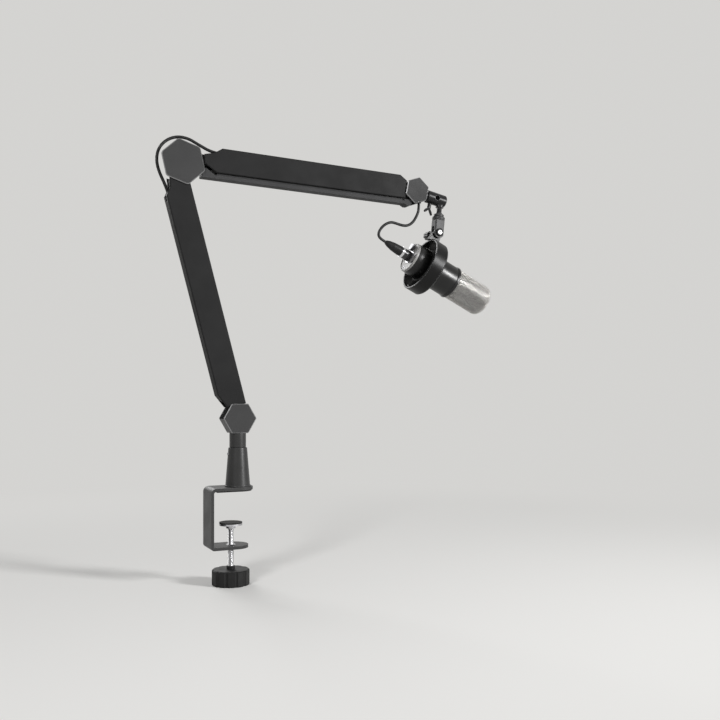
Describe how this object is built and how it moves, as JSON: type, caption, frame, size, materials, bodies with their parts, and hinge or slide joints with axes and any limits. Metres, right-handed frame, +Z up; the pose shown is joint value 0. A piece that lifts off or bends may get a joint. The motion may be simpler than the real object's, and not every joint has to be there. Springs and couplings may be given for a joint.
{
  "type": "condenser microphone",
  "caption": "End-address microphone in a ring shock mount, hung by a swivel clevis from a two-part spring boom arm on a desk clamp, with its cable.",
  "frame": {"origin": "on the post's axis, in the face of the top jaw's pad that rests on the desk top", "axes": "+X runs from the desk's edge over the desk in the arm's plane, +Y across the arm, +Z up"},
  "size_m": [0.628, 0.103, 0.7342],
  "materials": {
    "clamp_paint": "satin powder coat",
    "arm_paint": "satin powder coat",
    "cover_paint": "satin powder coat",
    "rubber": "matt",
    "black_plastic": "fine grain",
    "bright_steel": "bright plated",
    "zinc": "zinc plated",
    "adapter_metal": "fine grey metallic paint",
    "ring_satin": "black satin paint",
    "mic_satin": "black satin paint",
    "mesh": "woven silver-grey mesh",
    "foam": "open-cell foam",
    "capsule_metal": "gold-coated diaphragm in a brass body",
    "board": "solder mask",
    "socket_metal": "nickel",
    "plug_metal": "black satin paint",
    "knob_metal": "dark anodised",
    "cable_jacket": "matt jacket"
  },
  "bodies": {
    "desk_clamp": {"clamp_bracket": "clamp_paint", "jaw_pad": "rubber", "jaw_nut": "zinc", "tower": "clamp_paint", "post_bush": "black_plastic", "tower_screws": "zinc", "post_lock_screw": "zinc"},
    "pressure_pad": {"pressure_disc": "bright_steel", "pad_facing": "rubber"},
    "clamp_screw": {"clamp_screw_rod": "bright_steel", "clamp_knob": "black_plastic"},
    "swivel_post": {"post_collar": "arm_paint", "base_hex_housing": "arm_paint", "base_caps": "arm_paint", "base_pivot": "zinc"},
    "lower_arm": {"lower_bars": "arm_paint", "lower_cover": "cover_paint", "lower_spring": "bright_steel", "elbow_caps": "arm_paint", "elbow_pivot": "zinc", "lower_cable": "cable_jacket", "stowed_plug": "plug_metal", "elbow_cable": "cable_jacket"},
    "upper_arm": {"upper_bars": "arm_paint", "upper_cover": "cover_paint", "upper_spring": "bright_steel", "upper_rail": "cover_paint", "upper_cable": "cable_jacket"},
    "head": {"front_hex_housing": "arm_paint", "front_caps": "arm_paint", "front_bolt": "zinc", "cable_grommet": "rubber", "head_barrel": "arm_paint", "stud": "bright_steel"},
    "wing_screw": {"wing_screw": "bright_steel"},
    "adapter": {"thread_insert": "adapter_metal", "clevis": "adapter_metal", "tilt_bolt": "bright_steel", "tilt_washers": "black_plastic"},
    "mount_knob": {"thumb_nut": "adapter_metal"},
    "microphone": {"mount_ring": "ring_satin", "isolators": "rubber", "body_shell": "mic_satin", "rear_face": "mic_satin", "front_band": "mic_satin", "grille": "mesh", "grille_foam": "foam", "capsule_holder": "black_plastic", "capsule": "capsule_metal", "circuit_board": "board", "xlr_socket": "socket_metal", "gain_pot": "board", "headphone_jack": "socket_metal", "usb_socket": "socket_metal", "rear_screws": "zinc", "plug_shell": "plug_metal", "plug_ring": "plug_metal", "plug_boot": "rubber", "mic_cable": "cable_jacket"},
    "gain_knob": {"gain_knob": "knob_metal"}
  },
  "joints": [
    {"name": "swivel", "type": "hinge", "parent": "desk_clamp", "child": "swivel_post", "pos_m": [0, 0, 0.0722], "axis": [0, 0, 1], "continuous": true},
    {"name": "pad_travel", "type": "slide", "parent": "desk_clamp", "child": "pressure_pad", "axis": [0, 0, 1], "range_m": [-0.025, 0.025]},
    {"name": "screw_turn", "type": "hinge", "parent": "pressure_pad", "child": "clamp_screw", "pos_m": [-0.012, 0, -0.13], "axis": [0, 0, 1], "range_deg": [-6120, 6120]},
    {"name": "lower_arm_tilt", "type": "hinge", "parent": "swivel_post", "child": "lower_arm", "pos_m": [0, 0, 0.1199], "axis": [0, 1, 0], "range_deg": [-32.4, 57.6]},
    {"name": "elbow", "type": "hinge", "parent": "lower_arm", "child": "upper_arm", "pos_m": [-0.09264, 0, 0.5357], "axis": [0, 1, 0], "range_deg": [-70, 40], "deforming": ["elbow_cable"]},
    {"name": "head_tilt", "type": "hinge", "parent": "upper_arm", "child": "head", "pos_m": [0.33331, 0, 0.52909], "axis": [0, 1, 0], "range_deg": [-45, 25], "deforming": ["mic_cable"]},
    {"name": "wing_turn", "type": "hinge", "parent": "head", "child": "wing_screw", "pos_m": [0.36859, 0, 0.52191], "axis": [0.1994, 0, 0.9799], "range_deg": [-90, 0]},
    {"name": "pan", "type": "hinge", "parent": "head", "child": "adapter", "pos_m": [0.38877, 0, 0.5178], "axis": [0.1045, 0, 0.9945], "range_deg": [-90, 90], "deforming": ["mic_cable"]},
    {"name": "mount_knob_turn", "type": "hinge", "parent": "adapter", "child": "mount_knob", "pos_m": [0.38244, 0, 0.45754], "axis": [0, 1, 0], "continuous": true},
    {"name": "mic_tilt", "type": "hinge", "parent": "adapter", "child": "microphone", "pos_m": [0.38244, 0, 0.45754], "axis": [0, 1, 0], "range_deg": [-60, 20], "deforming": ["mic_cable"]},
    {"name": "gain_turn", "type": "hinge", "parent": "microphone", "child": "gain_knob", "pos_m": [0.33369, 0, 0.42602], "axis": [-0.8988, 0, 0.4384], "range_deg": [-135, 135]}
  ],
  "couplings": [
    {"joint": "screw_turn", "follows": "pad_travel", "rad_per_m": 4188.8}
  ]
}
